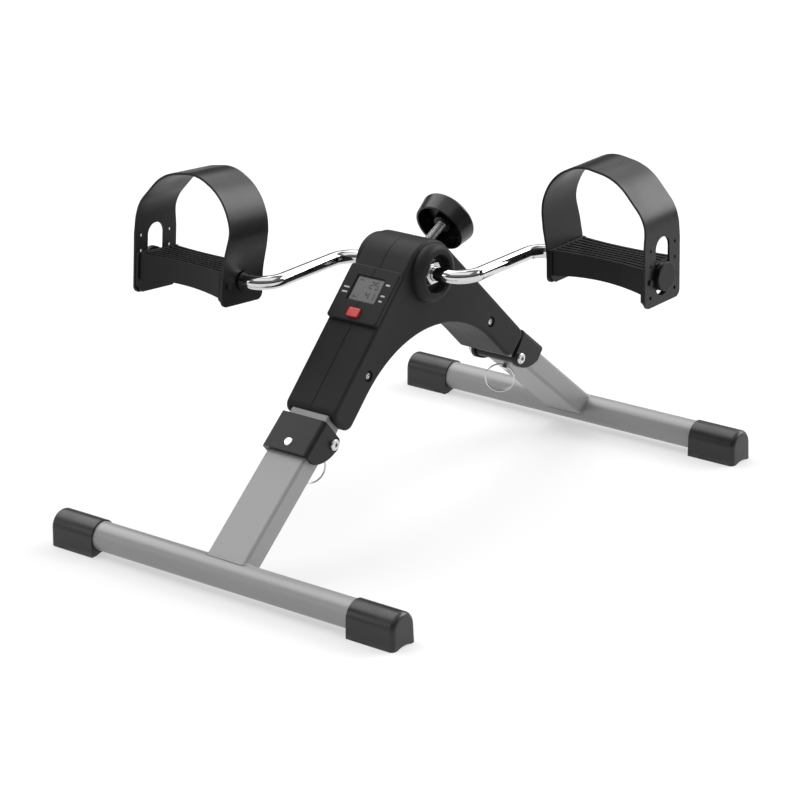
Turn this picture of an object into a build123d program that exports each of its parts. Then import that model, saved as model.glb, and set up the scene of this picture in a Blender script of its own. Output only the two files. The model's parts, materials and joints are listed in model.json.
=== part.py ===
from build123d import *
from math import cos, radians, sin, sqrt
import os

# ---------------------------------------------------------------------------
# Folding pedal exerciser. Millimetres, +Z up. The origin is on the floor,
# midway between the two base tubes. X runs along the crank axle, -Y is the
# user's side (display), +Y is the far side.
# ---------------------------------------------------------------------------

# Base tubes, end caps and legs
BASE_Y = 240.0
BASE_Z = 15.2
BASE_R = 12.7
BASE_WALL = 1.5
BASE_HALF = 180.0
CAP_IN = 137.3
CAP_OUT = 184.8
CAP_HALF_W = 14.0
CAP_TOP = 29.3
LEG_ANGLE = 40.0
LEG_W = 41.4
LEG_T = 20.0
TUBE_WALL = 1.6
LEG_START = 7.0

# Leg hinges (bolt centres) and brackets
HINGE_Y = 128.4
HINGE_Z = 97.8
LEG_OFFSET = 8.5
BRACKET_HALF = 24.1
BRACKET_WEB_IN = 18.5
BRACKET_WEB_OUT = 23.5
BRACKET_END_T = 26.5
BARREL_R = 5.75
BOLT_R = 3.2
NUT_H = 4.5
PIN_T = 18.0
PIN_R = 3.0
PIN_TIP_R = 3.9
RING_HOLE_N = -4.5
RING_R = 12.7
RING_WIRE_R = 0.8
RING_TURN = {-1: 75.0, 1: 40.0}

# Housing and upper frame
HUB_Z = 212.6
DOME_R = 29.2
DOME_ARC_R = 33.5
HOUSE_HALF = 26.8
HOUSE_WALL = 2.2
ARM_END_E = 157.6
ARCH_R = 122.0
ARCH_Z = 41.0
TUBE_HALF = 20.4
TUBE_IN_N = 6.8
TUBE_OUT_N = 26.8
TUBE_START_E = 4.0
TUBE_END_E = 175.0
SCREW_Y = 83.9
SCREW_Z = 144.7
SCREW_DEPTH = 3.4

# Hub, crank and brake
SHELL_R = 17.0
BEARING_R = 15.0
SHELL_HALF = 26.1
COVER_R = 25.5
COVER_OUT = 36.9
RECESS_R = 16.5
ROD_R = 6.0
RUN_FIT = 0.05
ARM_X = 63.0
CRANK_R = 106.0
BEND_R = 20.0
ROD_END = 184.0
DRUM_R = 13.0
DRUM_HALF = 8.0
KNOB_TILT = 65.0
KNOB_UNDER = 52.3
SHOE_TOP = 20.2
SCREW_ROD_R = 3.9
KNOB_R = 25.8
KNOB_H = 16.5
KNOB_RIM_R = 23.2
KNOB_FILLET = 2.5

# Pedals
PEDAL_IN = 91.0
PEDAL_OUT = 188.0
PEDAL_TOP = 9.8
PEDAL_BOTTOM = -13.0
PEDAL_HALF_W = 23.5
PEDAL_WAIST = 19.5
STRAP_HALF_W = 25.5
BAND_HALF_W = 23.7
STRAP_T = 2.0
PEG_Y = 17.7
PEG_Z = -2.7
PEG_R = 1.6
WINDOW_W = 20.0
WINDOW_H = 51.0
WINDOW_Z = 7.5
PEDAL_PITCH = {-1: -5.5, 1: 0.0}

# Monitor
MON_TOP = 19.6
MON_BOTTOM = 71.4
MON_HALF = 26.5
MON_N = 33.2
LCD_MID = 41.0
BUTTON_MID = 64.0

ROOT2 = sqrt(2)
ARM_IN_N = (ARCH_Z + ROOT2 * ARCH_R - HUB_Z) / ROOT2
UY = sin(radians(KNOB_TILT))
UZ = cos(radians(KNOB_TILT))
CL = cos(radians(LEG_ANGLE))
SL = sin(radians(LEG_ANGLE))

os.makedirs("parts", exist_ok=True)


def save(part, name):
    part.label = name
    export_step(part, "parts/" + name + ".step")


def leg_pt(t, n, side):
    """Point in YZ, t down the leg and n outward from the hinge bolt."""
    return (side * (HINGE_Y + t * CL + n * SL), HINGE_Z - t * SL + n * CL)


def arm_pt(e, n, side):
    """Point in YZ, e down the housing arm and n outward from the crank axle."""
    return (side * (e + n) / ROOT2, HUB_Z + (n - e) / ROOT2)


def leg_plane(t, side, n=LEG_OFFSET):
    y, z = leg_pt(t, n, side)
    return Plane(origin=(0, y, z), x_dir=(1, 0, 0), z_dir=(0, side * CL, -SL))


def pin_plane(n, side):
    y, z = leg_pt(PIN_T, n, side)
    return Plane(origin=(0, y, z), x_dir=(1, 0, 0), z_dir=(0, side * SL, CL))


def arm_plane(e, side, n):
    y, z = arm_pt(e, n, side)
    return Plane(origin=(0, y, z), x_dir=(1, 0, 0), z_dir=(0, side / ROOT2, -1 / ROOT2))


def knob_plane(s):
    return Plane(origin=(0, UY * s, HUB_Z + UZ * s), x_dir=(1, 0, 0), z_dir=(0, UY, UZ))


def monitor_plane(e, n):
    y, z = arm_pt(e, n, -1)
    return Plane(origin=(0, y, z), x_dir=(1, 0, 0), z_dir=(0, -1 / ROOT2, 1 / ROOT2))


HUB_AXIS = Axis((0, 0, HUB_Z), (1, 0, 0))
KNOB_AXIS = Axis((0, 0, HUB_Z), (0, UY, UZ))
KNOB_SECTION = Plane(origin=(0, 0, HUB_Z), x_dir=(1, 0, 0), z_dir=(0, -UZ, UY))


def base_tube(side):
    with BuildPart() as tube:
        with BuildSketch(Plane.YZ.offset(-BASE_HALF)):
            with Locations((side * BASE_Y, BASE_Z)):
                Circle(BASE_R)
                Circle(BASE_R - BASE_WALL, mode=Mode.SUBTRACT)
        extrude(amount=2 * BASE_HALF)
    return tube.part


def end_cap(side, end):
    inner = end * CAP_IN
    with BuildPart() as cap:
        with BuildSketch(Plane.YZ.offset(inner)):
            with BuildLine():
                y0 = side * BASE_Y
                Line((y0 - CAP_HALF_W - 0.6, 0), (y0 - CAP_HALF_W, CAP_TOP - CAP_HALF_W))
                ThreePointArc(
                    (y0 - CAP_HALF_W, CAP_TOP - CAP_HALF_W),
                    (y0, CAP_TOP),
                    (y0 + CAP_HALF_W, CAP_TOP - CAP_HALF_W),
                )
                Line((y0 + CAP_HALF_W, CAP_TOP - CAP_HALF_W), (y0 + CAP_HALF_W + 0.6, 0))
                Line((y0 + CAP_HALF_W + 0.6, 0), (y0 + 8.5, 0))
                ThreePointArc((y0 + 8.5, 0), (y0, 1.6), (y0 - 8.5, 0))
                Line((y0 - 8.5, 0), (y0 - CAP_HALF_W - 0.6, 0))
            make_face()
        extrude(amount=end * (CAP_OUT - CAP_IN))
        tip = cap.faces().sort_by(Axis.X)[-1 if end > 0 else 0]
        fillet(tip.edges().sort_by(Axis.Z)[3:], radius=4.0)
        with BuildSketch(Plane.YZ.offset(inner)):
            with Locations((side * BASE_Y, BASE_Z)):
                Circle(BASE_R)
        extrude(amount=end * (BASE_HALF - CAP_IN), mode=Mode.SUBTRACT)
    return cap.part


def leg_tube(side):
    with BuildPart() as leg:
        with BuildSketch(leg_plane(LEG_START, side)):
            RectangleRounded(LEG_W, LEG_T, 3.0)
            RectangleRounded(LEG_W - 2 * TUBE_WALL, LEG_T - 2 * TUBE_WALL, 1.6, mode=Mode.SUBTRACT)
        extrude(amount=138.6 - LEG_START)
        with BuildSketch(Plane.YZ):
            with Locations((side * BASE_Y, BASE_Z)):
                Circle(BASE_R)
        extrude(amount=LEG_W, both=True, mode=Mode.SUBTRACT)
        with BuildSketch(pin_plane(-6, side)):
            Circle(PIN_R + 0.08)
        extrude(amount=12, mode=Mode.SUBTRACT)
        with BuildSketch(pin_plane(6, side)):
            Circle(PIN_TIP_R + 0.08)
        extrude(amount=20, mode=Mode.SUBTRACT)
    return leg.part


def leg_bracket(side):
    with BuildPart() as bracket:
        with BuildSketch(Plane.YZ.offset(-BRACKET_HALF)):
            with BuildLine():
                top = leg_pt(-8.0, BRACKET_WEB_OUT, side)
                low = leg_pt(BRACKET_END_T, BRACKET_WEB_OUT, side)
                tail = leg_pt(BRACKET_END_T, 10.0, side)
                Polyline(top, low, tail)
                ThreePointArc(
                    tail,
                    leg_pt(16.2, -1.6, side),
                    leg_pt(4.2, -6.8, side),
                )
                ThreePointArc(
                    leg_pt(4.2, -6.8, side),
                    leg_pt(-3.0, -7.0, side),
                    leg_pt(-7.6, -2.4, side),
                )
                Line(leg_pt(-7.6, -2.4, side), top)
            make_face()
        extrude(amount=2 * BRACKET_HALF)
        outer = bracket.edges().filter_by(Axis((0, 0, 0), (0, side * CL, -SL)))
        fillet(outer.filter_by(lambda edge: edge.length > 30), radius=4.0)
        with BuildSketch(Plane.YZ.offset(-LEG_W / 2)):
            with BuildLine():
                Polyline(
                    leg_pt(-15, BRACKET_WEB_IN, side),
                    leg_pt(30, BRACKET_WEB_IN, side),
                    leg_pt(30, -12, side),
                    leg_pt(-15, -12, side),
                    close=True,
                )
            make_face()
        extrude(amount=LEG_W, mode=Mode.SUBTRACT)
        with BuildSketch(Plane.YZ):
            with Locations((side * HINGE_Y, HINGE_Z)):
                Circle(BOLT_R)
        extrude(amount=30, both=True, mode=Mode.SUBTRACT)
        with BuildSketch(pin_plane(10, side)):
            Circle(PIN_TIP_R + 0.08)
        extrude(amount=20, mode=Mode.SUBTRACT)
    return bracket.part


def hinge_bolt(side):
    with BuildPart() as bolt:
        with BuildSketch(Plane.YZ.offset(-BRACKET_HALF - NUT_H - 1.5)):
            with Locations((side * HINGE_Y, HINGE_Z)):
                Circle(BOLT_R)
        extrude(amount=2 * BRACKET_HALF + NUT_H + 1.5)
        with BuildSketch(Plane.YZ.offset(BRACKET_HALF)):
            with Locations((side * HINGE_Y, HINGE_Z)):
                Circle(5.0)
        extrude(amount=2.6)
        rim = bolt.faces().sort_by(Axis.X)[-1].edges()
        fillet(rim, radius=1.2)
        with BuildSketch(Plane.YZ.offset(BRACKET_HALF + 1.4)):
            with Locations((side * HINGE_Y, HINGE_Z)):
                RegularPolygon(2.3, 6)
        extrude(amount=2, mode=Mode.SUBTRACT)
    return bolt.part


def hinge_nut(side):
    with BuildPart() as nut:
        with BuildSketch(Plane.YZ.offset(-BRACKET_HALF)):
            with Locations((side * HINGE_Y, HINGE_Z)):
                RegularPolygon(5.6, 6)
                Circle(BOLT_R, mode=Mode.SUBTRACT)
        extrude(amount=-NUT_H)
    return nut.part


def lock_pin(side):
    with BuildPart() as pin:
        with BuildSketch(pin_plane(-7.4, side)):
            Circle(PIN_R)
        extrude(amount=13.0)
        with BuildSketch(pin_plane(5.6, side)):
            Circle(PIN_TIP_R)
        extrude(amount=BRACKET_WEB_OUT + 1.0 - 5.6)
        tip = pin.faces().sort_by(Axis((0, 0, 0), (0, side * SL, CL)))[-1]
        chamfer(tip.edges(), length=0.6)
        across = Plane(origin=ring_hole(side), z_dir=ring_hole_axis(side))
        with BuildSketch(across.offset(-6)):
            Circle(1.5)
        extrude(amount=12, mode=Mode.SUBTRACT)
    return pin.part


def ring_hole_axis(side):
    """Direction of the cross hole in the lock pin, turned about the pin."""
    turn = radians(RING_TURN[side])
    return Vector(cos(turn), sin(turn) * CL, -side * sin(turn) * SL)


def ring_hole(side):
    y, z = leg_pt(PIN_T, RING_HOLE_N, side)
    return Vector(0, y, z)


def ring_drop(side):
    """Direction in which the ring hangs, straight down but square to its hole."""
    across = ring_hole_axis(side)
    down = Vector(0, 0, -1)
    return (down - across * down.dot(across)).normalized()


def pull_ring(side):
    across = ring_hole_axis(side)
    drop = ring_drop(side)
    centre = ring_hole(side) + drop * RING_R
    with BuildPart() as ring:
        with BuildSketch(Plane(origin=ring_hole(side), x_dir=drop, z_dir=across)):
            Circle(RING_WIRE_R)
        revolve(axis=Axis(centre, drop.cross(across)))
    return ring.part


for side, name in ((-1, "front"), (1, "rear")):
    save(base_tube(side), "base_tube_" + name)
    save(end_cap(side, -1), "end_cap_" + name + "_left")
    save(end_cap(side, 1), "end_cap_" + name + "_right")
    save(leg_tube(side), "leg_tube_" + name)
    save(leg_bracket(side), "leg_bracket_" + name)
    save(hinge_bolt(side), "hinge_bolt_" + name)
    save(hinge_nut(side), "hinge_nut_" + name)
    save(lock_pin(side), "lock_pin_" + name)
    save(pull_ring(side), "pull_ring_" + name)

# ---------------------------------------------------------------------------
# Upper frame: two square arms welded to the hub shell, notched at the lower
# ends for the hinge barrels, with a guide for the brake shoe.
# ---------------------------------------------------------------------------
TUBE_MID_N = (TUBE_IN_N + TUBE_OUT_N) / 2
TUBE_DEPTH = TUBE_OUT_N - TUBE_IN_N
with BuildPart() as frame_tube:
    for side in (-1, 1):
        with BuildSketch(arm_plane(TUBE_START_E, side, TUBE_MID_N)):
            RectangleRounded(2 * TUBE_HALF, TUBE_DEPTH, 2.5)
        extrude(amount=TUBE_END_E - TUBE_START_E)
    with BuildSketch(Plane.YZ.offset(-SHELL_HALF)):
        with Locations((0, HUB_Z)):
            Circle(SHELL_R)
    extrude(amount=2 * SHELL_HALF)
    for side in (-1, 1):
        with BuildSketch(arm_plane(TUBE_START_E + 14, side, TUBE_MID_N)):
            RectangleRounded(2 * TUBE_HALF - 2 * TUBE_WALL, TUBE_DEPTH - 2 * TUBE_WALL, 1.2)
        extrude(amount=TUBE_END_E, mode=Mode.SUBTRACT)
        with BuildSketch(Plane.YZ):
            with Locations((side * HINGE_Y, HINGE_Z)):
                Circle(BARREL_R)
        extrude(amount=30, both=True, mode=Mode.SUBTRACT)
        with BuildSketch(Plane.YZ):
            with Locations((side * SCREW_Y, SCREW_Z)):
                Circle(2.2)
        extrude(amount=30, both=True, mode=Mode.SUBTRACT)
    with BuildSketch(knob_plane(12)):
        Circle(8.0)
    extrude(amount=13.5)
    with BuildSketch(Plane.YZ):
        with Locations((0, HUB_Z)):
            Circle(BEARING_R)
    extrude(amount=30, both=True, mode=Mode.SUBTRACT)
    with BuildSketch(knob_plane(8)):
        Circle(6.3)
    extrude(amount=14, mode=Mode.SUBTRACT)
    with BuildSketch(knob_plane(8)):
        Circle(SCREW_ROD_R + 0.08)
    extrude(amount=24, mode=Mode.SUBTRACT)
    with BuildSketch(monitor_plane((MON_TOP + MON_BOTTOM) / 2, 15.5)):
        Rectangle(2 * TUBE_HALF - 2 * TUBE_WALL, MON_BOTTOM - MON_TOP + 2)
    extrude(amount=20, mode=Mode.SUBTRACT)
save(frame_tube.part, "frame_tube")


def hinge_barrel(side):
    """Sleeve welded across the end of one arm, around the hinge bolt."""
    with BuildPart() as barrel:
        with BuildSketch(Plane.YZ.offset(-TUBE_HALF)):
            with Locations((side * HINGE_Y, HINGE_Z)):
                Circle(BARREL_R)
                Circle(BOLT_R + RUN_FIT, mode=Mode.SUBTRACT)
        extrude(amount=2 * TUBE_HALF)
    return barrel.part


save(hinge_barrel(-1), "hinge_barrel_front")
save(hinge_barrel(1), "hinge_barrel_rear")


def housing_outline(inset):
    """Closed YZ outline of the housing, moved inward by inset."""
    top = DOME_R - inset
    under = ARM_IN_N + inset
    end = ARM_END_E - inset
    arch = ARCH_R + inset
    with BuildSketch(Plane.YZ) as outline:
        with BuildLine():
            Polyline(
                (0, HUB_Z + ROOT2 * top),
                arm_pt(end, top, 1),
                arm_pt(end, under, 1),
                (0, ARCH_Z + ROOT2 * arch),
                arm_pt(end, under, -1),
                arm_pt(end, top, -1),
                close=True,
            )
        make_face()
        fillet(outline.vertices().sort_by(Axis.Y)[-1], radius=DOME_ARC_R - inset)
        fillet(outline.vertices().filter_by(lambda v: abs(v.X) < 1), radius=arch)
        across = outline.vertices().sort_by(Axis.X)
        fillet([across[0], across[-1]], radius=8.0 - inset)
        fillet(outline.vertices().group_by(Axis.Y)[0], radius=9.0 - inset)
    return outline.sketch


def housing_half(hand):
    """One moulded shell half, hand +1 for the +X side, -1 for the -X side."""
    with BuildPart() as shell:
        add(housing_outline(0))
        extrude(amount=HOUSE_HALF, dir=(hand, 0, 0))
        rim = shell.faces().sort_by(Axis.X)[-1 if hand > 0 else 0]
        fillet(rim.edges(), radius=3.0)
        add(housing_outline(HOUSE_WALL))
        extrude(amount=HOUSE_HALF - 2.8, dir=(hand, 0, 0), mode=Mode.SUBTRACT)
        for side in (-1, 1):
            # mouth at the end of each arm for the square tube
            with BuildSketch(arm_plane(ARM_END_E - 8, side, TUBE_MID_N)):
                Rectangle(2 * TUBE_HALF + 0.6, TUBE_DEPTH + 0.8)
            extrude(amount=12, mode=Mode.SUBTRACT)
            # pad and recess for the side screw
            with BuildSketch(Plane.YZ.offset(hand * TUBE_HALF)):
                with Locations((side * SCREW_Y, SCREW_Z)):
                    Circle(7.2)
            extrude(amount=hand * 4.6)
            with BuildSketch(Plane.YZ.offset(hand * (HOUSE_HALF - SCREW_DEPTH))):
                with Locations((side * SCREW_Y, SCREW_Z)):
                    Circle(4.9)
            extrude(amount=hand * 4, mode=Mode.SUBTRACT)
            with BuildSketch(Plane.YZ):
                with Locations((side * SCREW_Y, SCREW_Z)):
                    Circle(2.0)
            extrude(amount=hand * 30, mode=Mode.SUBTRACT)
        # hub opening, screw rod opening and monitor opening
        with BuildSketch(Plane.YZ):
            with Locations((0, HUB_Z)):
                Circle(SHELL_R)
        extrude(amount=hand * 30, mode=Mode.SUBTRACT)
        with BuildSketch(knob_plane(20)):
            Circle(5.2)
        extrude(amount=16, mode=Mode.SUBTRACT)
        with BuildSketch(monitor_plane((MON_TOP + MON_BOTTOM) / 2, 20)):
            Rectangle(35, 47)
        extrude(amount=12, mode=Mode.SUBTRACT)
    return shell.part


save(housing_half(-1), "housing_left")
save(housing_half(1), "housing_right")

# Side screws, one through each arm of the housing
with BuildPart() as housing_screws:
    for side in (-1, 1):
        with BuildSketch(Plane.YZ.offset(0.5 - HOUSE_HALF)):
            with Locations((side * SCREW_Y, SCREW_Z)):
                Circle(2.0)
        extrude(amount=2 * HOUSE_HALF - 0.5 - SCREW_DEPTH)
        with BuildSketch(Plane.YZ.offset(HOUSE_HALF - SCREW_DEPTH)):
            with Locations((side * SCREW_Y, SCREW_Z)):
                Circle(3.8)
        extrude(amount=2.2)
        with BuildSketch(Plane.YZ.offset(HOUSE_HALF - 2.2)):
            with Locations((side * SCREW_Y, SCREW_Z)):
                Rectangle(4.4, 1.0)
                Rectangle(1.0, 4.4)
        extrude(amount=2, mode=Mode.SUBTRACT)
save(housing_screws.part, "housing_screws")

with BuildPart() as housing_nuts:
    with BuildSketch(Plane.YZ.offset(SCREW_DEPTH - HOUSE_HALF)):
        with Locations((-SCREW_Y, SCREW_Z), (SCREW_Y, SCREW_Z)):
            RegularPolygon(4.0, 6)
            Circle(2.0, mode=Mode.SUBTRACT)
    extrude(amount=-2.4)
save(housing_nuts.part, "housing_nuts")


def hub_cover(hand):
    with BuildPart() as cover:
        with BuildSketch(Plane.XZ):
            with BuildLine():
                Line((hand * HOUSE_HALF, HUB_Z + 11.8), (hand * HOUSE_HALF, HUB_Z + COVER_R))
                Line((hand * HOUSE_HALF, HUB_Z + COVER_R), (hand * (HOUSE_HALF + 3.5), HUB_Z + COVER_R))
                ThreePointArc(
                    (hand * (HOUSE_HALF + 3.5), HUB_Z + COVER_R),
                    (hand * (COVER_OUT - 1.6), HUB_Z + COVER_R - 2.8),
                    (hand * COVER_OUT, HUB_Z + RECESS_R + 2.0),
                )
                ThreePointArc(
                    (hand * COVER_OUT, HUB_Z + RECESS_R + 2.0),
                    (hand * (COVER_OUT - 0.6), HUB_Z + RECESS_R + 0.6),
                    (hand * (COVER_OUT - 2.0), HUB_Z + RECESS_R),
                )
                Polyline(
                    (hand * (COVER_OUT - 2.0), HUB_Z + RECESS_R),
                    (hand * (HOUSE_HALF + 1.7), HUB_Z + RECESS_R),
                    (hand * (HOUSE_HALF + 1.7), HUB_Z + 11.8),
                    (hand * HOUSE_HALF, HUB_Z + 11.8),
                )
            make_face()
        revolve(axis=HUB_AXIS)
    return cover.part


def hub_bearing(hand):
    with BuildPart() as bearing:
        with BuildSketch(Plane.YZ.offset(hand * 10.0)):
            with Locations((0, HUB_Z)):
                Circle(BEARING_R)
                Circle(ROD_R + RUN_FIT, mode=Mode.SUBTRACT)
        extrude(amount=hand * (SHELL_HALF - 10.0))
    return bearing.part


def hub_nut(hand):
    with BuildPart() as nut:
        with BuildSketch(Plane.YZ.offset(hand * SHELL_HALF)):
            with Locations((0, HUB_Z)):
                RegularPolygon(10.6, 6)
                Circle(ROD_R + 0.4, mode=Mode.SUBTRACT)
        extrude(amount=hand * 6.0)
        rim = nut.faces().sort_by(Axis.X)[-1 if hand > 0 else 0]
        chamfer(rim.edges().filter_by(GeomType.LINE), length=0.7)
    return nut.part


def crank_arm(hand):
    """Bent rod: axle half, arm and pedal spindle, one arm forward and one back."""
    x0 = hand * 0.2
    y1 = hand * CRANK_R
    turn = BEND_R * (1 - 1 / ROOT2)
    with BuildPart() as arm:
        with BuildLine():
            Line((x0, 0, HUB_Z), (hand * (ARM_X - BEND_R), 0, HUB_Z))
            ThreePointArc(
                (hand * (ARM_X - BEND_R), 0, HUB_Z),
                (hand * (ARM_X - turn), hand * turn, HUB_Z),
                (hand * ARM_X, hand * BEND_R, HUB_Z),
            )
            Line((hand * ARM_X, hand * BEND_R, HUB_Z), (hand * ARM_X, y1 - hand * BEND_R, HUB_Z))
            ThreePointArc(
                (hand * ARM_X, y1 - hand * BEND_R, HUB_Z),
                (hand * (ARM_X + turn), y1 - hand * turn, HUB_Z),
                (hand * (ARM_X + BEND_R), y1, HUB_Z),
            )
            Line((hand * (ARM_X + BEND_R), y1, HUB_Z), (hand * ROD_END, y1, HUB_Z))
        with BuildSketch(Plane.YZ.offset(x0)):
            with Locations((0, HUB_Z)):
                Circle(ROD_R)
        sweep()
    return arm.part


for hand, name in ((-1, "left"), (1, "right")):
    save(hub_cover(hand), "hub_cover_" + name)
    save(hub_bearing(hand), "hub_bearing_" + name)
    save(hub_nut(hand), "hub_nut_" + name)
    save(crank_arm(hand), "crank_arm_" + name)

# Friction drum that the brake shoe presses on, around the middle of the axle
with BuildPart() as friction_drum:
    with BuildSketch(Plane.YZ.offset(-DRUM_HALF)):
        with Locations((0, HUB_Z)):
            Circle(DRUM_R)
            Circle(ROD_R, mode=Mode.SUBTRACT)
    extrude(amount=2 * DRUM_HALF)
save(friction_drum.part, "friction_drum")

# Brake shoe: a round block with a hollow face that follows the drum
with BuildPart() as brake_shoe:
    with BuildSketch(knob_plane(9)):
        Circle(6.0)
    extrude(amount=SHOE_TOP - 9)
    with BuildSketch(Plane.YZ):
        with Locations((0, HUB_Z)):
            Circle(DRUM_R + 0.4)
    extrude(amount=20, both=True, mode=Mode.SUBTRACT)
save(brake_shoe.part, "brake_shoe")

# Resistance screw and knob
with BuildPart() as tension_screw:
    with BuildSketch(knob_plane(SHOE_TOP)):
        Circle(SCREW_ROD_R)
    extrude(amount=KNOB_UNDER + 12 - SHOE_TOP)
    chamfer(tension_screw.faces().sort_by(Axis((0, 0, 0), (0, UY, UZ)))[0].edges(), length=0.8)
save(tension_screw.part, "tension_screw")

with BuildPart() as knob:
    with BuildSketch(KNOB_SECTION):
        with BuildLine():
            Polyline(
                (SCREW_ROD_R, KNOB_UNDER + 4.5),
                (8.0, KNOB_UNDER + 4.5),
                (9.5, KNOB_UNDER + 11),
                (19.5, KNOB_UNDER + 11),
                (KNOB_RIM_R - 1.8, KNOB_UNDER),
                (KNOB_RIM_R, KNOB_UNDER),
                (KNOB_R, KNOB_UNDER + KNOB_H - KNOB_FILLET),
            )
            RadiusArc(
                (KNOB_R, KNOB_UNDER + KNOB_H - KNOB_FILLET),
                (KNOB_R - KNOB_FILLET, KNOB_UNDER + KNOB_H),
                -KNOB_FILLET,
            )
            Polyline(
                (KNOB_R - KNOB_FILLET, KNOB_UNDER + KNOB_H),
                (0, KNOB_UNDER + KNOB_H),
                (0, KNOB_UNDER + 12),
                (SCREW_ROD_R, KNOB_UNDER + 12),
                (SCREW_ROD_R, KNOB_UNDER + 4.5),
            )
        make_face()
    revolve(axis=KNOB_AXIS)
save(knob.part, "resistance_knob")

# ---------------------------------------------------------------------------
# Monitor on the front arm
# ---------------------------------------------------------------------------
MON_MID = (MON_TOP + MON_BOTTOM) / 2
SKIRT_N = 18.0
with BuildPart() as monitor_case:
    with BuildSketch(monitor_plane(MON_MID, DOME_R)):
        RectangleRounded(2 * MON_HALF, MON_BOTTOM - MON_TOP, 3.0)
    extrude(amount=MON_N - DOME_R)
    fillet(monitor_case.faces().sort_by(Axis((0, 0, 0), (0, -1, 1)))[-1].edges(), radius=1.2)
    with BuildSketch(monitor_plane(MON_MID, SKIRT_N)):
        Rectangle(34.6, 46.6)
    extrude(amount=DOME_R - SKIRT_N)
    with BuildSketch(monitor_plane(MON_MID, SKIRT_N)):
        Rectangle(31.6, 43.6)
    extrude(amount=DOME_R + 1.2 - SKIRT_N, mode=Mode.SUBTRACT)
    with BuildSketch(monitor_plane(LCD_MID, DOME_R)):
        Rectangle(29.6, 24.0)
    extrude(amount=8, mode=Mode.SUBTRACT)
    with BuildSketch(monitor_plane(BUTTON_MID, DOME_R - 1.0)):
        RectangleRounded(13.0, 9.0, 1.8)
    extrude(amount=9, mode=Mode.SUBTRACT)
save(monitor_case.part, "monitor_case")

with BuildPart() as lcd_panel:
    with BuildSketch(monitor_plane(LCD_MID, DOME_R - 1.0)):
        Rectangle(31.0, 26.0)
    extrude(amount=2.2)
    with BuildSketch(monitor_plane(LCD_MID, DOME_R + 1.2)):
        Rectangle(29.5, 23.9)
    extrude(amount=1.4)
save(lcd_panel.part, "lcd_panel")

with BuildPart() as circuit_board:
    with BuildSketch(monitor_plane(MON_MID, 24.0)):
        Rectangle(31.6, 43.6)
    extrude(amount=1.4)
save(circuit_board.part, "circuit_board")

with BuildPart() as button_cell:
    with BuildSketch(monitor_plane(LCD_MID, 18.6)):
        Circle(5.8)
    extrude(amount=5.4)
save(button_cell.part, "button_cell")

with BuildPart() as mode_button:
    with BuildSketch(monitor_plane(BUTTON_MID, DOME_R + 0.6)):
        RectangleRounded(12.4, 8.4, 1.6)
    extrude(amount=MON_N + 1.8 - DOME_R - 0.6)
    fillet(mode_button.faces().sort_by(Axis((0, 0, 0), (0, -1, 1)))[-1].edges(), radius=0.9)
    with BuildSketch(monitor_plane(BUTTON_MID, 27.0)):
        Circle(2.0)
    extrude(amount=DOME_R + 0.6 - 27.0)
save(mode_button.part, "mode_button")

# ---------------------------------------------------------------------------
# Pedals
# ---------------------------------------------------------------------------


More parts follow.
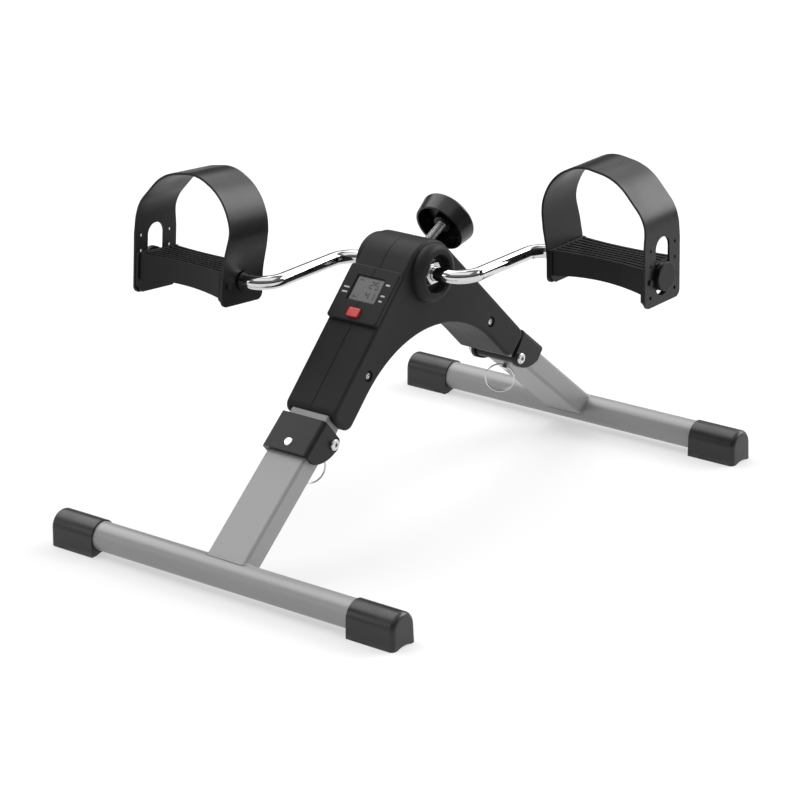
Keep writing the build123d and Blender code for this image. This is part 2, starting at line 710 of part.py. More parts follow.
def pedal_body(hand):
    yc = hand * CRANK_R
    mid = hand * (PEDAL_IN + PEDAL_OUT) / 2
    with BuildPart() as body:
        # end plates, the outer one with the same window as the strap
        for x0, x1, drop in ((PEDAL_IN, PEDAL_IN + 3, 19.5), (PEDAL_OUT - 3, PEDAL_OUT, 24.5)):
            with BuildSketch(Plane.YZ.offset(hand * x0)):
                with BuildLine():
                    Polyline(
                        (yc - STRAP_HALF_W + 0.5, HUB_Z + PEDAL_TOP),
                        (yc + STRAP_HALF_W - 0.5, HUB_Z + PEDAL_TOP),
                        (yc + STRAP_HALF_W - 0.5, HUB_Z - drop + 6),
                        (yc + STRAP_HALF_W - 6.5, HUB_Z - drop),
                        (yc - STRAP_HALF_W + 6.5, HUB_Z - drop),
                        (yc - STRAP_HALF_W + 0.5, HUB_Z - drop + 6),
                        close=True,
                    )
                make_face()
            extrude(amount=hand * (x1 - x0))
        with BuildSketch(Plane.YZ.offset(hand * (PEDAL_OUT - 3))):
            with Locations((yc, HUB_Z + WINDOW_Z)):
                RectangleRounded(WINDOW_W, WINDOW_H, WINDOW_W / 2 - 0.1)
        extrude(amount=hand * 3, mode=Mode.SUBTRACT)
        # waisted block between them
        with BuildSketch(Plane.XY.offset(HUB_Z + PEDAL_BOTTOM)):
            with BuildLine():
                ThreePointArc(
                    (hand * PEDAL_IN, yc - PEDAL_HALF_W),
                    (mid, yc - PEDAL_WAIST),
                    (hand * PEDAL_OUT, yc - PEDAL_HALF_W),
                )
                Line((hand * PEDAL_OUT, yc - PEDAL_HALF_W), (hand * PEDAL_OUT, yc + PEDAL_HALF_W))
                ThreePointArc(
                    (hand * PEDAL_OUT, yc + PEDAL_HALF_W),
                    (mid, yc + PEDAL_WAIST),
                    (hand * PEDAL_IN, yc + PEDAL_HALF_W),
                )
                Line((hand * PEDAL_IN, yc + PEDAL_HALF_W), (hand * PEDAL_IN, yc - PEDAL_HALF_W))
            make_face()
        extrude(amount=PEDAL_TOP - PEDAL_BOTTOM)
        # seven grooves in the tread that follow the waist
        for i in range(7):
            end_w = (i - 3) * 6.2
            squeeze = PEDAL_WAIST / PEDAL_HALF_W
            with BuildSketch(Plane.XY.offset(HUB_Z + PEDAL_TOP - 2.2)):
                with BuildLine():
                    for edge in (-1.3, 1.3):
                        ThreePointArc(
                            (hand * (PEDAL_IN + 3.5), yc + end_w + edge),
                            (mid, yc + (end_w + edge) * squeeze),
                            (hand * (PEDAL_OUT - 3.5), yc + end_w + edge),
                        )
                    for x in (PEDAL_IN + 3.5, PEDAL_OUT - 3.5):
                        Line((hand * x, yc + end_w - 1.3), (hand * x, yc + end_w + 1.3))
                make_face()
            extrude(amount=4, mode=Mode.SUBTRACT)
        # hollow underside on both sides of the spindle tunnel
        for row in (-1, 1):
            with BuildSketch(Plane.XY.offset(HUB_Z + PEDAL_BOTTOM)):
                with Locations((mid, yc + row * 13.6)):
                    Rectangle(PEDAL_OUT - PEDAL_IN - 10, 8.4)
            extrude(amount=20.5, mode=Mode.SUBTRACT)
        # arched lower edge
        with BuildSketch(Plane.XZ.offset(-yc)):
            with BuildLine():
                low = HUB_Z + PEDAL_BOTTOM
                ThreePointArc(
                    (hand * (PEDAL_IN + 3), low),
                    (mid, low + 3.2),
                    (hand * (PEDAL_OUT - 3), low),
                )
                Line((hand * (PEDAL_OUT - 3), low), (hand * (PEDAL_IN + 3), low))
            make_face()
        extrude(amount=30, both=True, mode=Mode.SUBTRACT)
        with BuildSketch(Plane.YZ.offset(hand * (PEDAL_IN - 1))):
            with Locations((yc, HUB_Z)):
                Circle(8.0)
        extrude(amount=hand * 9.0, mode=Mode.SUBTRACT)
        with BuildSketch(Plane.YZ.offset(hand * (PEDAL_IN - 1))):
            with Locations((yc, HUB_Z)):
                Circle(ROD_R + RUN_FIT)
        extrude(amount=hand * 97.0, mode=Mode.SUBTRACT)
        for x0 in (PEDAL_IN, PEDAL_OUT - 4.0):
            with BuildSketch(Plane.YZ.offset(hand * x0)):
                with Locations((yc - PEG_Y, HUB_Z + PEG_Z), (yc + PEG_Y, HUB_Z + PEG_Z)):
                    Circle(PEG_R)
            extrude(amount=hand * 4.0, mode=Mode.SUBTRACT)
    return body.part


def pedal_strap(hand):
    """Toe strap: one moulded band over the foot, with both ends on the body."""
    yc = hand * CRANK_R
    inner_x = hand * (PEDAL_IN - STRAP_T)
    outer_x = hand * (PEDAL_OUT + STRAP_T)
    with BuildPart() as strap:
        with BuildSketch(Plane.XZ.offset(-yc)):
            with BuildLine():
                band = FilletPolyline(
                    (inner_x, HUB_Z - 20.0),
                    (inner_x, HUB_Z + 6.0),
                    (hand * 81.6, HUB_Z + 47.3),
                    (hand * 92.4, HUB_Z + 74.7),
                    (hand * 121.9, HUB_Z + 89.8),
                    (hand * 160.0, HUB_Z + 83.7),
                    (outer_x, HUB_Z + 50.8),
                    (outer_x, HUB_Z - 25.0),
                    radius=(88, 35, 45, 38, 45, 33),
                )
                offset(band, amount=STRAP_T, side=Side.RIGHT if hand > 0 else Side.LEFT)
            make_face()
        extrude(amount=STRAP_HALF_W, both=True)
        # wide plates at both ends, a narrower band over the foot
        with BuildSketch(Plane.YZ.offset(hand * 70.0)):
            with BuildLine():
                Polyline(
                    (yc - STRAP_HALF_W, HUB_Z - 26.0),
                    (yc + STRAP_HALF_W, HUB_Z - 26.0),
                    (yc + STRAP_HALF_W, HUB_Z + 27.0),
                    (yc + BAND_HALF_W, HUB_Z + 45.0),
                    (yc + BAND_HALF_W, HUB_Z + 95.0),
                    (yc - BAND_HALF_W, HUB_Z + 95.0),
                    (yc - BAND_HALF_W, HUB_Z + 45.0),
                    (yc - STRAP_HALF_W, HUB_Z + 27.0),
                    close=True,
                )
            make_face()
        extrude(amount=hand * 130.0, mode=Mode.INTERSECT)
        fillet(strap.edges().filter_by(Axis.X).sort_by(Axis.Z)[0:4], radius=6.0)
        # arched window and adjustment holes at the outer end
        with BuildSketch(Plane.YZ.offset(hand * 180.0)):
            with Locations((yc, HUB_Z + WINDOW_Z)):
                RectangleRounded(WINDOW_W, WINDOW_H, WINDOW_W / 2 - 0.1)
            for row in (-1, 1):
                for height in (-16.2, PEG_Z, 10.8, 24.3):
                    with Locations((yc + row * PEG_Y, HUB_Z + height)):
                        Circle(PEG_R)
        extrude(amount=hand * 15.0, mode=Mode.SUBTRACT)
        # spindle opening and peg holes at the inner end
        with BuildSketch(Plane.YZ.offset(hand * 80.0)):
            with Locations((yc, HUB_Z)):
                Circle(8.6)
            with Locations((yc - PEG_Y, HUB_Z + PEG_Z), (yc + PEG_Y, HUB_Z + PEG_Z)):
                Circle(PEG_R)
        extrude(amount=hand * 15.0, mode=Mode.SUBTRACT)
    return strap.part


def pedal_bush(hand):
    """Nylon bush at the inner end of the spindle tunnel."""
    with BuildPart() as bush:
        with BuildSketch(Plane.YZ.offset(hand * (PEDAL_IN - 4.0))):
            with Locations((hand * CRANK_R, HUB_Z)):
                Circle(8.0)
                Circle(ROD_R + RUN_FIT, mode=Mode.SUBTRACT)
        extrude(amount=hand * 12.0)
    return bush.part


def pedal_end_cap(hand):
    """Round cap over the outer end of the spindle tunnel."""
    with BuildPart() as cap:
        with BuildSketch(Plane.YZ.offset(hand * PEDAL_OUT)):
            with Locations((hand * CRANK_R, HUB_Z - 1.0)):
                Circle(9.0)
        extrude(amount=hand * STRAP_T)
        with BuildSketch(Plane.YZ.offset(hand * (PEDAL_OUT + STRAP_T))):
            with Locations((hand * CRANK_R, HUB_Z - 1.0)):
                Circle(12.6)
        extrude(amount=hand * 4.6)
        tip = cap.faces().sort_by(Axis.X)[-1 if hand > 0 else 0]
        fillet(tip.edges(), radius=1.0)
    return cap.part


def pedal_pegs(hand):
    """Four push pegs that hold the strap ends on the body."""
    with BuildPart() as pegs:
        for face, out in ((PEDAL_IN, -1), (PEDAL_OUT, 1)):
            spots = [(hand * CRANK_R - PEG_Y, HUB_Z + PEG_Z), (hand * CRANK_R + PEG_Y, HUB_Z + PEG_Z)]
            with BuildSketch(Plane.YZ.offset(hand * (face - out * 4.0))):
                with Locations(*spots):
                    Circle(PEG_R)
            extrude(amount=hand * out * (4.0 + STRAP_T))
            with BuildSketch(Plane.YZ.offset(hand * (face + out * STRAP_T))):
                with Locations(*spots):
                    Circle(2.6)
            extrude(amount=hand * out * 1.4)
    return pegs.part


# Each pedal hangs at its own pitch about its spindle
for hand, name in ((-1, "left"), (1, "right")):
    spindle = Axis((0, hand * CRANK_R, HUB_Z), (1, 0, 0))
    pitch = PEDAL_PITCH[hand]
    save(pedal_body(hand).rotate(spindle, pitch), "pedal_body_" + name)
    save(pedal_strap(hand).rotate(spindle, pitch), "pedal_strap_" + name)
    save(pedal_bush(hand).rotate(spindle, pitch), "pedal_bush_" + name)
    save(pedal_end_cap(hand).rotate(spindle, pitch), "pedal_end_cap_" + name)
    save(pedal_pegs(hand).rotate(spindle, pitch), "pedal_pegs_" + name)
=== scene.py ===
"""The look of a folding pedal exerciser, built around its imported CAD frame. Metres, +Z up."""

import json
import math

import bmesh
import bpy
from mathutils import Matrix, Vector


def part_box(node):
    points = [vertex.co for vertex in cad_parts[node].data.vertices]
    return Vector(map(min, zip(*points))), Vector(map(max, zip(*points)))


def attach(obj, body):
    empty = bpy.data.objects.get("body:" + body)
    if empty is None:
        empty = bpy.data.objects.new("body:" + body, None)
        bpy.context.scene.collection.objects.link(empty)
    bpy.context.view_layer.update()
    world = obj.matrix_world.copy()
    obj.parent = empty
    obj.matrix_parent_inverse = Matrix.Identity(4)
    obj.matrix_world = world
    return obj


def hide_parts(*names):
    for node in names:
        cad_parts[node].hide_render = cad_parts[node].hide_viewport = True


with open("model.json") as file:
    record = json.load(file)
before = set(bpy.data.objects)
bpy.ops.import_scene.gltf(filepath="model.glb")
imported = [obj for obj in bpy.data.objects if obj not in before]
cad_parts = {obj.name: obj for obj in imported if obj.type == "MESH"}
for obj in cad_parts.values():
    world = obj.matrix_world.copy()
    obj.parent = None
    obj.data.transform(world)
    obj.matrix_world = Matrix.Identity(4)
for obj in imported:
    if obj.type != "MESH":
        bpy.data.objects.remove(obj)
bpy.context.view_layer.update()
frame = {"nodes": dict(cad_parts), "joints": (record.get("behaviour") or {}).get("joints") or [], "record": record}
nodes = frame["nodes"]
MM = 0.001

# ---------------------------------------------------------------------------
# Places and sizes, read from the frame
# ---------------------------------------------------------------------------
SIDES = {"front": -1, "rear": 1}
ROOT_HALF = math.sqrt(0.5)


def middle(node):
    low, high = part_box(node)
    return (low + high) / 2


def size(node):
    low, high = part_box(node)
    return high - low


HUB = Vector((0, 0, middle("hub_bearing_left").z))
BASE_R = size("base_tube_front").z / 2
BASE_CENTRE = middle("base_tube_front")
LEG_HALF_W = size("leg_tube_front").x / 2
LEG_T = 20 * MM
LEG_ANGLE = math.radians(40)
KNOB_DIR = Vector(next(joint["axis"] for joint in frame["joints"] if joint["name"] == "knob_turn"))
MONITOR_OUT = Vector((0, -ROOT_HALF, ROOT_HALF))
MONITOR_DOWN = Vector((0, -ROOT_HALF, -ROOT_HALF))
EDGE_RADIUS = 0.35 * MM


# ---------------------------------------------------------------------------
# Shader helpers
# ---------------------------------------------------------------------------
class Shader:
    """A material with a Principled shader and a few short ways to add texture nodes."""

    def __init__(self, name):
        self.material = bpy.data.materials.new(name)
        self.material.use_nodes = True
        self.tree = self.material.node_tree
        self.bsdf = self.tree.nodes["Principled BSDF"]
        self.coordinates = self.node("ShaderNodeTexCoord").outputs["Object"]

    def node(self, kind, **values):
        made = self.tree.nodes.new(kind)
        for key, value in values.items():
            setattr(made, key, value)
        return made

    def wire(self, source, target):
        self.tree.links.new(source, target)

    def noise(self, scale, detail=2.0, stretch=(1, 1, 1)):
        mapping = self.node("ShaderNodeMapping")
        mapping.inputs["Scale"].default_value = stretch
        self.wire(self.coordinates, mapping.inputs["Vector"])
        noise = self.node("ShaderNodeTexNoise")
        noise.inputs["Scale"].default_value = scale
        noise.inputs["Detail"].default_value = detail
        self.wire(mapping.outputs["Vector"], noise.inputs["Vector"])
        return noise.outputs["Fac"]

    def remap(self, source, low, high, from_low=0.3, from_high=0.7):
        made = self.node("ShaderNodeMapRange")
        made.inputs["From Min"].default_value = from_low
        made.inputs["From Max"].default_value = from_high
        made.inputs["To Min"].default_value = low
        made.inputs["To Max"].default_value = high
        self.wire(source, made.inputs["Value"])
        return made.outputs["Result"]

    def blend(self, factor, first, second):
        """Mix two colours, each a tuple or another node's output."""
        made = self.node("ShaderNodeMix", data_type="RGBA")
        for value, socket in ((first, made.inputs[6]), (second, made.inputs[7])):
            if isinstance(value, bpy.types.NodeSocket):
                self.wire(value, socket)
            else:
                socket.default_value = (*value, 1)
        self.wire(factor, made.inputs[0])
        return made.outputs[2]

    def bump(self, height, depth, below=None):
        """Raise the surface by up to depth metres; below is an earlier bump's output."""
        made = self.node("ShaderNodeBump")
        made.inputs["Strength"].default_value = 1.0
        made.inputs["Distance"].default_value = depth
        self.wire(height, made.inputs["Height"])
        self.wire(self.rounded() if below is None else below, made.inputs["Normal"])
        return made.outputs["Normal"]

    def rounded(self):
        """Normal that rolls over sharp edges as a small moulding radius does."""
        made = self.node("ShaderNodeBevel", samples=4)
        made.inputs["Radius"].default_value = EDGE_RADIUS
        return made.outputs["Normal"]

    def set(self, **values):
        for key, value in values.items():
            socket = self.bsdf.inputs[key.replace("_", " ")]
            if isinstance(value, bpy.types.NodeSocket):
                self.wire(value, socket)
            elif isinstance(value, tuple):
                socket.default_value = (*value, 1)
            else:
                socket.default_value = value


def scaled(colour, factor):
    return tuple(channel * factor for channel in colour)


def moulded(name, colour, roughness, grain=1400, depth=0.03, specular=0.5, dust=0.0, seam=False):
    """Injection-moulded plastic: eroded grain, faint sink ripples, uneven gloss and a little dust."""
    shader = Shader(name)
    patches = shader.noise(28, 4)
    fine = shader.noise(grain, 3)
    ripple = shader.noise(90, 1)
    tone = shader.blend(shader.remap(patches, 0, 1), scaled(colour, 0.86), scaled(colour, 1.14))
    if dust:
        specks = shader.remap(shader.noise(700, 6), 0, dust, 0.62, 0.72)
        tone = shader.blend(specks, tone, (0.30, 0.29, 0.28))
    shader.set(Base_Color=tone)
    shader.set(Roughness=shader.remap(patches, roughness - 0.05, roughness + 0.05))
    shader.bsdf.inputs["Specular IOR Level"].default_value = specular
    soft = shader.bump(ripple, 0.06 * MM)
    if seam:
        # fine parting line where the two halves meet, at X = 0
        split = shader.node("ShaderNodeSeparateXYZ")
        shader.wire(shader.coordinates, split.inputs[0])
        from_middle = shader.node("ShaderNodeMath", operation="ABSOLUTE")
        shader.wire(split.outputs["X"], from_middle.inputs[0])
        level = shader.remap(from_middle.outputs[0], 0, 1, 0.1 * MM, 0.45 * MM)
        shader.set(Base_Color=shader.blend(level, scaled(colour, 0.25), tone))
        soft = shader.bump(level, 0.3 * MM, soft)
    shader.set(Normal=shader.bump(fine, depth * MM, soft))
    return shader.material


def powder_coat(name, colour, roughness, metallic, peel=0.05, specular=0.5):
    """Baked powder coat: orange peel, fine flake and slow changes of gloss."""
    shader = Shader(name)
    patches = shader.noise(16, 5)
    flake = shader.noise(3200, 1)
    peel_bumps = shader.noise(420, 2)
    tone = shader.blend(shader.remap(patches, 0, 1), scaled(colour, 0.95), scaled(colour, 1.05))
    tone = shader.blend(shader.remap(flake, 0, 0.16), tone, scaled(colour, 1.7))
    shader.set(Base_Color=tone, Metallic=metallic)
    shader.set(Roughness=shader.remap(patches, roughness - 0.04, roughness + 0.05))
    shader.bsdf.inputs["Specular IOR Level"].default_value = specular
    shader.set(Normal=shader.bump(peel_bumps, peel * MM))
    return shader.material


def bright_metal(name, colour, roughness, marks=0.01, stretch=(1, 1, 1)):
    """Plated or turned metal with light smudges and hairline marks."""
    shader = Shader(name)
    smudge = shader.noise(60, 5)
    lines = shader.noise(900, 2, stretch)
    shader.set(Base_Color=shader.blend(shader.remap(smudge, 0, 1), scaled(colour, 0.94), colour))
    shader.set(Metallic=1.0)
    shader.set(Roughness=shader.remap(smudge, roughness * 0.75, roughness * 1.4))
    shader.set(Normal=shader.bump(lines, marks * MM))
    return shader.material


def rubber(name, colour, roughness):
    """Moulded end-cap rubber: satin, finely pitted, scuffed grey where it meets the floor."""
    shader = Shader(name)
    patches = shader.noise(45, 5)
    pits = shader.noise(1900, 3)
    split = shader.node("ShaderNodeSeparateXYZ")
    shader.wire(shader.coordinates, split.inputs[0])
    low = shader.remap(split.outputs["Z"], 0.55, 0.0, 0.0, 5 * MM)
    scuffed = shader.node("ShaderNodeMath", operation="MULTIPLY")
    shader.wire(low, scuffed.inputs[0])
    shader.wire(shader.remap(patches, 0, 1, 0.4, 0.65), scuffed.inputs[1])
    tone = shader.blend(shader.remap(patches, 0, 1), scaled(colour, 0.85), scaled(colour, 1.2))
    tone = shader.blend(scuffed.outputs[0], tone, (0.09, 0.088, 0.085))
    shader.set(Base_Color=tone)
    shader.set(Roughness=shader.remap(patches, roughness - 0.06, roughness + 0.06))
    shader.bsdf.inputs["Specular IOR Level"].default_value = 0.45
    shader.set(Normal=shader.bump(pits, 0.03 * MM, shader.bump(patches, 0.12 * MM)))
    return shader.material


def plain_gloss(name, colour, roughness, coat=0.0):
    """Small glossy parts: faint waves and a thin clear coat."""
    shader = Shader(name)
    waves = shader.noise(140, 3)
    shader.set(Base_Color=shader.blend(shader.remap(waves, 0, 1), scaled(colour, 0.9), colour))
    shader.set(Roughness=shader.remap(waves, roughness * 0.8, roughness * 1.25))
    shader.set(Normal=shader.bump(waves, 0.02 * MM))
    shader.bsdf.inputs["Coat Weight"].default_value = coat
    shader.bsdf.inputs["Coat Roughness"].default_value = 0.08
    return shader.material


SILVER_GREY = (0.26, 0.26, 0.26)
looks = {
    "grey_powder_coat": powder_coat("silver_grey_coat", SILVER_GREY, 0.42, 0.25),
    "black_housing": moulded("housing_plastic", (0.016, 0.016, 0.0165), 0.5,
                             depth=0.035, specular=0.15, seam=True),
    "black_rubber": rubber("cap_rubber", (0.011, 0.011, 0.0115), 0.36),
    "black_powder_coat": powder_coat("bracket_coat", (0.006, 0.006, 0.0065), 0.34, 0.0, 0.04, 0.25),
    "chrome": bright_metal("chrome_plate", (0.64, 0.64, 0.65), 0.06),
    "steel": bright_metal("zinc_steel", (0.62, 0.62, 0.63), 0.24, 0.02),
    "pedal_black": moulded("pedal_plastic", (0.006, 0.006, 0.0065), 0.4, depth=0.02, specular=0.2),
    "strap_black": moulded("strap_plastic", (0.005, 0.005, 0.0055), 0.36, depth=0.012, specular=0.28),
    "knob_black": moulded("knob_plastic", (0.005, 0.005, 0.0055), 0.3, depth=0.015, specular=0.45),
    "nylon": moulded("bearing_nylon", (0.62, 0.61, 0.57), 0.45),
    "brake_lining": moulded("shoe_lining", (0.10, 0.07, 0.05), 0.8, grain=900, depth=0.1),
    "lcd": plain_gloss("lcd_glass", (0.046, 0.048, 0.048), 0.3, 0.3),
    "board_green": plain_gloss("board_lacquer", (0.02, 0.12, 0.05), 0.35),
    "red_button": plain_gloss("button_red", (0.56, 0.008, 0.007), 0.3, 0.2),
    "lcd_ink": plain_gloss("lcd_ink", (0.012, 0.012, 0.012), 0.4),
    # gasket finish: the LCD's dark rim, and also the black rings painted on the housing screw heads as shade of
    # their recesses
    "gasket": moulded("gasket_and_screw_recess_shade", (0.006, 0.006, 0.006), 0.5),
    "white_print": plain_gloss("pad_print_white", (0.5, 0.5, 0.5), 0.5),
}

slot_of = {part["node"]: part["material_slot"] for part in frame["record"]["subparts"]}
for name, obj in nodes.items():
    obj.data.materials.clear()
    obj.data.materials.append(looks[slot_of[name]])


# ---------------------------------------------------------------------------
# Pieces with more detail than the CAD solids
# ---------------------------------------------------------------------------
def add_piece(name, points, faces, material, body, smooth=True):
    """A mesh object in the row frame that rides on a body and takes the given finish."""
    mesh = bpy.data.meshes.new(name)
    mesh.from_pydata([tuple(point) for point in points], [], faces)
    mesh.update()
    mesh.polygons.foreach_set("use_smooth", [smooth] * len(mesh.polygons))
    mesh.materials.append(material)
    piece = bpy.data.objects.new(name, mesh)
    bpy.context.scene.collection.objects.link(piece)
    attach(piece, body)
    return piece


def grid_faces(rows, columns, close_rows=False):
    """Quads of a grid whose columns wrap round, and whose rows may too."""
    faces = []
    for row in range(rows if close_rows else rows - 1):
        after = (row + 1) % rows
        for column in range(columns):
            beside = (column + 1) % columns
            faces.append((row * columns + column, row * columns + beside,
                          after * columns + beside, after * columns + column))
    return faces


def tension_thread():
    """The knob's screw with its real M8 thread, cut as a height over the cylinder."""
    pitch, crest, root = 1.25 * MM, 3.9 * MM, 3.25 * MM
    steps, columns = 10, 40
    along = [(vertex.co - HUB).dot(KNOB_DIR) for vertex in nodes["tension_screw"].data.vertices]
    start, end = min(along) + 0.05 * MM, max(along)
    across = Vector((1, 0, 0))
    upward = KNOB_DIR.cross(across)
    rows = int((end - start) / pitch * steps)
    points = []
    for row in range(rows + 1):
        height = start + (end - start) * row / rows
        for column in range(columns):
            turn = 2 * math.pi * column / columns
            phase = (height / pitch - column / columns) % 1.0
            rise = min(1.0, max(0.0, 1.25 - abs(phase - 0.5) * 3.0))
            radius = root + (crest - root) * rise
            spoke = across * math.cos(turn) + upward * math.sin(turn)
            points.append(HUB + KNOB_DIR * height + spoke * radius)
    faces = grid_faces(rows + 1, columns)
    faces.append(tuple(reversed(range(columns))))
    faces.append(tuple(range(rows * columns, (rows + 1) * columns)))
    screw = add_piece("tension_screw_thread", points, faces, looks["steel"], "knob")
    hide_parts("tension_screw")


def rounded_outline(half_w, half_h, radius, count):
    """Points round a rounded rectangle, evenly turned at the corners and dense along the sides."""
    points = []
    for quarter, (sx, sy) in enumerate(((1, 1), (-1, 1), (-1, -1), (1, -1))):
        centre = Vector((sx * (half_w - radius), sy * (half_h - radius), 0))
        for step in range(count + 1):
            angle = math.pi / 2 * (quarter + step / count)
            points.append(centre + Vector((math.cos(angle), math.sin(angle), 0)) * radius)
    dense = []
    for first, second in zip(points, points[1:] + points[:1]):
        pieces = max(1, round((second - first).length / (0.45 * MM)))
        dense += [first.lerp(second, step / pieces) for step in range(pieces)]
    return dense


def weld_bead(side_name):
    """Rippled fillet weld where the leg tube meets the base tube, following their intersection."""
    side = SIDES[side_name]
    down = Vector((0, side * math.cos(LEG_ANGLE), -math.sin(LEG_ANGLE)))
    out = Vector((0, side * math.sin(LEG_ANGLE), math.cos(LEG_ANGLE)))
    centre = Vector((0, side * abs(BASE_CENTRE.y), BASE_CENTRE.z))
    path = []
    for spot in rounded_outline(LEG_HALF_W, LEG_T / 2, 3 * MM, 6):
        reach = math.sqrt(BASE_R ** 2 - spot.y ** 2)
        path.append(centre + Vector((spot.x, 0, 0)) + out * spot.y - down * reach)
    columns = 10
    points = []
    travelled = 0.0
    for index, place in enumerate(path):
        before, after = path[index - 1], path[(index + 1) % len(path)]
        heading = (after - before).normalized()
        travelled += (place - before).length
        beat = abs(math.sin(math.pi * travelled / (1.6 * MM)))
        radius = (0.95 + 0.22 * beat + 0.08 * math.sin(travelled / (7 * MM))) * MM
        normal = (place - centre).cross(heading).normalized()
        other = heading.cross(normal)
        for column in range(columns):
            turn = 2 * math.pi * column / columns
            points.append(place + (normal * math.cos(turn) + other * math.sin(turn)) * radius)
    faces = grid_faces(len(path), columns, close_rows=True)
    add_piece("weld_bead_" + side_name, points, faces, looks["grey_powder_coat"],
              "leg_" + side_name)


MONITOR_SIDEWAYS = Vector((1, 0, 0))


def monitor_spot(across, down, lift):
    """Point on the display: across to +X, down the arm from the LCD's middle, lift off its face."""
    return LCD_FACE + MONITOR_SIDEWAYS * across + MONITOR_DOWN * down + MONITOR_OUT * lift


def face_middle(node):
    """Middle of the node's outer face on the display."""
    points = [vertex.co for vertex in nodes[node].data.vertices]
    top = max(point.dot(MONITOR_OUT) for point in points)
    rim = [point for point in points if point.dot(MONITOR_OUT) > top - 0.01 * MM]
    return sum(rim, Vector()) / len(rim)


LCD_FACE = face_middle("lcd_panel")
CASE_LIFT = (face_middle("monitor_case") - LCD_FACE).dot(MONITOR_OUT)


def slabs(name, outlines, base, height, material):
    """Thin raised shapes on the display; each outline is a list of (across, down) corners."""
    points, faces = [], []
    for outline in outlines:
        first, count = len(points), len(outline)
        for lift in (base, base + height):
            points += [monitor_spot(across, down, lift) for across, down in outline]
        faces.append(tuple(first + i for i in range(count)))
        faces.append(tuple(first + count + i for i in reversed(range(count))))
        for i in range(count):
            j = (i + 1) % count
            faces.append((first + j, first + i, first + count + i, first + count + j))
    piece = add_piece(name, points, faces, material, "frame", smooth=False)
    solid = bmesh.new()
    solid.from_mesh(piece.data)
    bmesh.ops.recalc_face_normals(solid, faces=solid.faces)
    solid.to_mesh(piece.data)
    solid.free()
    return piece


def rectangle(across, down, width, height):
    left, right = across - width / 2, across + width / 2
    top, bottom = down - height / 2, down + height / 2
    return [(left, top), (right, top), (right, bottom), (left, bottom)]


# lit segments of each digit, named as on any seven-segment display
SEGMENTS = {"1": "bc", "2": "abged", "4": "fgbc", "5": "afgcd"}
FIGURE_H = 6.4 * MM
FIGURE_COLUMNS = (3.0 * MM, 8.2 * MM)
FIGURE_ROWS = ((-5.2 * MM, "25"), (4.8 * MM, "41"))
TICK = (4 * MM, 0.9 * MM)
MARK_H = 1.5 * MM
MARK_ACROSS = 19.6 * MM
# printed bars beside the LCD: side, distance down the arm, width
MARKS = ((-1, 1.5 * MM, 5.6 * MM), (-1, 6.0 * MM, 5.6 * MM),
         (1, -7.5 * MM, 4.6 * MM), (1, 3.0 * MM, 4.2 * MM), (1, 8.0 * MM, 3.4 * MM))


def digit(figure, across, down, height):
    """Seven-segment figure as six-cornered bars."""
    half_w, half_h, thick = height * 0.27, height / 2, height * 0.085
    bars = {
        "a": (0, -half_h, True), "g": (0, 0, True), "d": (0, half_h, True),
        "f": (-half_w, -half_h / 2, False), "b": (half_w, -half_h / 2, False),
        "e": (-half_w, half_h / 2, False), "c": (half_w, half_h / 2, False),
    }
    outlines = []
    for name in SEGMENTS[figure]:
        x, y, level = bars[name]
        reach = (half_w if level else half_h / 2) - thick * 0.35
        shape = [(-reach, 0), (thick - reach, -thick), (reach - thick, -thick),
                 (reach, 0), (reach - thick, thick), (thick - reach, thick)]
        if not level:
            shape = [(b, a) for a, b in shape]
        outlines.append([(across + x + a, down + y + b) for a, b in shape])
    return outlines


def ring_slab(name, half_w, half_h, width, down, base, height, material):
    """Flat rectangular rim, four mitred bars."""
    corners = [(-1, -1), (1, -1), (1, 1), (-1, 1)]
    outlines = []
    for (ax, ay), (bx, by) in zip(corners, corners[1:] + corners[:1]):
        outlines.append([
            (ax * half_w, down + ay * half_h), (bx * half_w, down + by * half_h),
            (bx * (half_w - width), down + by * (half_h - width)),
            (ax * (half_w - width), down + ay * (half_h - width)),
        ])
    return slabs(name, outlines, base, height, material)


def dress_monitor():
    """Figures and ticks on the LCD, its dark gasket, and plain bars for the printed labels."""
    figures = []
    for down, pair in FIGURE_ROWS:
        for across, figure in zip(FIGURE_COLUMNS, pair):
            figures += digit(figure, across, down, FIGURE_H)
    slabs("lcd_digits", figures, 0.0, 0.06 * MM, looks["lcd_ink"])
    ticks = [rectangle(-9 * MM, down, *TICK) for down in (-8 * MM, 8 * MM)]
    slabs("lcd_ticks", ticks, 0.0, 0.05 * MM, looks["lcd_ink"])
    ring_slab("lcd_gasket", 14.7 * MM, 11.9 * MM, 0.9 * MM, 0, 0.0, 0.5 * MM,
              looks["gasket"])
    marks = [rectangle(side * MARK_ACROSS, down, width, MARK_H) for side, down, width in MARKS]
    slabs("display_marks", marks, CASE_LIFT, 0.08 * MM, looks["white_print"])


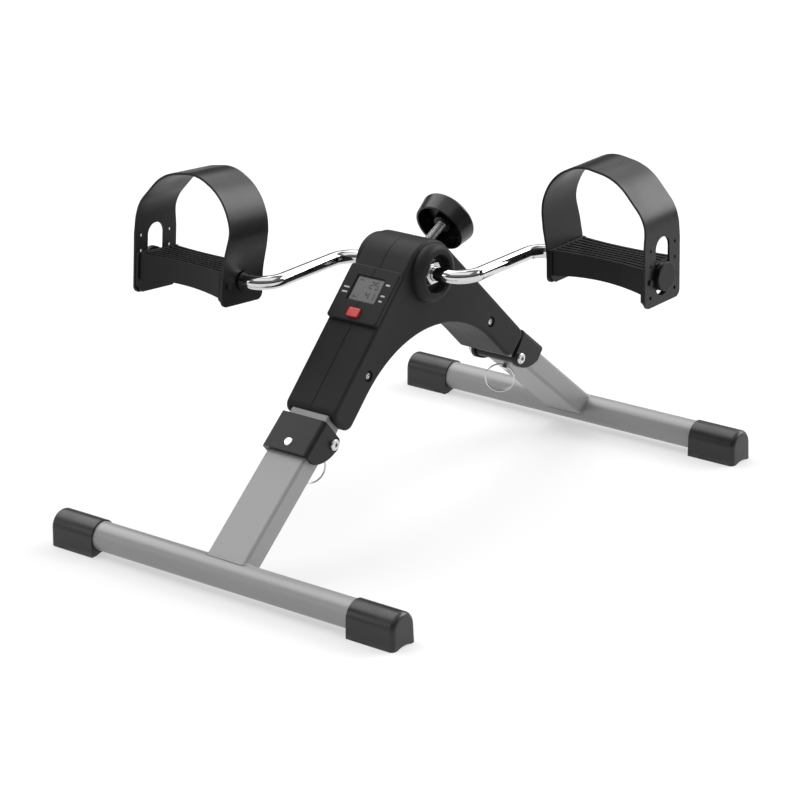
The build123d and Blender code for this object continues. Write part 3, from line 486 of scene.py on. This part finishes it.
def painted_screw_recess_shade():
    """Black rings on the heads of the housing's sunk screws, one on each arm: painted shade for the dark recess
    round each head.
    """
    inner, height = 2.35 * MM, 0.25 * MM
    head = [vertex.co for vertex in nodes["housing_screws"].data.vertices]
    top = max(point.x for point in head)
    points, columns = [], 40
    for side in SIDES.values():
        rim = [point for point in head if point.x > top - 0.01 * MM and point.y * side > 0]
        low = Vector([min(point[axis] for point in rim) for axis in range(3)])
        high = Vector([max(point[axis] for point in rim) for axis in range(3)])
        outer = (high.z - low.z) / 2
        section = ((outer, 0.0), (outer, height), (inner, height), (inner - 0.15 * MM, 0.0))
        for radius, lift in section:
            for column in range(columns):
                turn = 2 * math.pi * column / columns
                spoke = Vector((lift, math.cos(turn) * radius, math.sin(turn) * radius))
                points.append((low + high) / 2 + spoke)
    rows = len(section)
    ring = grid_faces(rows, columns, close_rows=True)
    faces = ring + [tuple(rows * columns + index for index in face) for face in ring]
    # the black annulus is painted shade: it stands in for the dark counterbore round each screw head
    add_piece("housing_screw_recess_shade", points, faces, looks["gasket"], "frame")


tension_thread()
for side_name in SIDES:
    weld_bead(side_name)
dress_monitor()
painted_screw_recess_shade()


# ---------------------------------------------------------------------------
# Stage, light and camera
# ---------------------------------------------------------------------------
def stage_floor():
    """Wide pale floor at Z = 0, lit a little from within so that its shadows stay soft."""
    mesh = bpy.data.meshes.new("floor")
    edge = 12.0
    corners = [(-edge, -edge, 0), (edge, -edge, 0), (edge, edge, 0), (-edge, edge, 0)]
    mesh.from_pydata(corners, [], [(0, 1, 2, 3)])
    floor = bpy.data.objects.new("floor", mesh)
    bpy.context.scene.collection.objects.link(floor)
    shader = Shader("floor_white")
    shader.set(Base_Color=(0.38, 0.38, 0.38), Roughness=0.9)
    shader.set(Emission_Color=(1.0, 1.0, 1.0), Emission_Strength=0.5)
    mesh.materials.append(shader.material)


CAMERA_AZIMUTH = math.radians(39.11)
CAMERA_ELEVATION = math.radians(20.42)
CAMERA_ROLL = math.radians(-1.395)
CAMERA_DISTANCE = 2.759
CAMERA_PAN = (-0.0090, 0.0867)
CAMERA_LENS = 143.16


def direction(azimuth, elevation):
    """Unit vector towards a place seen at this azimuth (0 is -Y, 90 is +X) and elevation, in degrees."""
    a, e = math.radians(azimuth), math.radians(elevation)
    return Vector((math.sin(a) * math.cos(e), -math.cos(a) * math.cos(e), math.sin(e)))


def add_camera():
    """The photograph's view: a long lens, rolled a little."""
    back = direction(math.degrees(CAMERA_AZIMUTH), math.degrees(CAMERA_ELEVATION))
    level = Vector((math.cos(CAMERA_AZIMUTH), math.sin(CAMERA_AZIMUTH), 0))
    upright = back.cross(level)
    right = math.cos(CAMERA_ROLL) * level + math.sin(CAMERA_ROLL) * upright
    up = math.cos(CAMERA_ROLL) * upright - math.sin(CAMERA_ROLL) * level
    place = right * CAMERA_PAN[0] + up * CAMERA_PAN[1] + back * CAMERA_DISTANCE
    camera = bpy.data.objects.new("camera", bpy.data.cameras.new("camera"))
    bpy.context.scene.collection.objects.link(camera)
    camera.matrix_world = Matrix.Translation(place) @ Matrix((right, up, back)).transposed().to_4x4()
    camera.data.lens = CAMERA_LENS
    camera.data.sensor_width = 36
    camera.data.clip_end = 40
    bpy.context.scene.camera = camera


# softboxes in the studio: azimuth, elevation, half width, half height (as tangents), brightness
SOFTBOXES = (
    (148, 28, 0.40, 0.30, 7.0),
    (-100, 52, 0.50, 0.45, 3.0),
    (40, 72, 0.60, 0.40, 1.0),
    (190, 38, 0.35, 0.25, 2.2),
    (-38, 20, 0.34, 0.18, 1.8),
)
SKY = ((-0.05, 0.10), (0.10, 0.03), (0.35, 0.14), (1.0, 0.28))


def add_studio():
    """White studio: a graded surround with soft rectangular lights, the same from everywhere."""
    world = bpy.data.worlds.new("studio")
    bpy.context.scene.world = world
    world.use_nodes = True
    tree = world.node_tree
    background = tree.nodes["Background"]
    coordinates = tree.nodes.new("ShaderNodeTexCoord").outputs["Generated"]

    def math_node(operation, first, second):
        made = tree.nodes.new("ShaderNodeMath")
        made.operation = operation
        for value, socket in ((first, made.inputs[0]), (second, made.inputs[1])):
            if isinstance(value, bpy.types.NodeSocket):
                tree.links.new(value, socket)
            else:
                socket.default_value = value
        return made.outputs[0]

    def along(vector):
        made = tree.nodes.new("ShaderNodeVectorMath")
        made.operation = "DOT_PRODUCT"
        tree.links.new(coordinates, made.inputs[0])
        made.inputs[1].default_value = vector
        return made.outputs["Value"]

    def edge(distance, half):
        made = tree.nodes.new("ShaderNodeMapRange")
        made.interpolation_type = "SMOOTHSTEP"
        made.inputs["From Min"].default_value = half * 1.15
        made.inputs["From Max"].default_value = half * 0.85
        tree.links.new(math_node("ABSOLUTE", distance, 0), made.inputs["Value"])
        return made.outputs["Result"]

    ramp = tree.nodes.new("ShaderNodeValToRGB")
    ramp.color_ramp.interpolation = "B_SPLINE"
    while len(ramp.color_ramp.elements) < len(SKY):
        ramp.color_ramp.elements.new(0.5)
    for element, (height, level) in zip(ramp.color_ramp.elements, SKY):
        element.position = (height + 1) / 2
        element.color = (level, level, level, 1)
    tree.links.new(math_node("MULTIPLY_ADD", along((0, 0, 1)), 0.5), ramp.inputs[0])
    ramp.inputs[0].links[0].from_node.inputs[2].default_value = 0.5
    total = ramp.outputs["Color"]
    for azimuth, elevation, half_w, half_h, level in SOFTBOXES:
        out = direction(azimuth, elevation)
        across = Vector((0, 0, 1)).cross(out).normalized()
        ahead = math_node("MAXIMUM", along(out), 0.001)
        side = math_node("DIVIDE", along(across), ahead)
        rise = math_node("DIVIDE", along(out.cross(across)), ahead)
        inside = math_node("MULTIPLY", edge(side, half_w), edge(rise, half_h))
        total = math_node("ADD", total, math_node("MULTIPLY", inside, level))
    tree.links.new(total, background.inputs["Color"])
    background.inputs["Strength"].default_value = 1.0


stage_floor()
add_studio()
add_camera()
bpy.context.scene.view_settings.view_transform = "Standard"
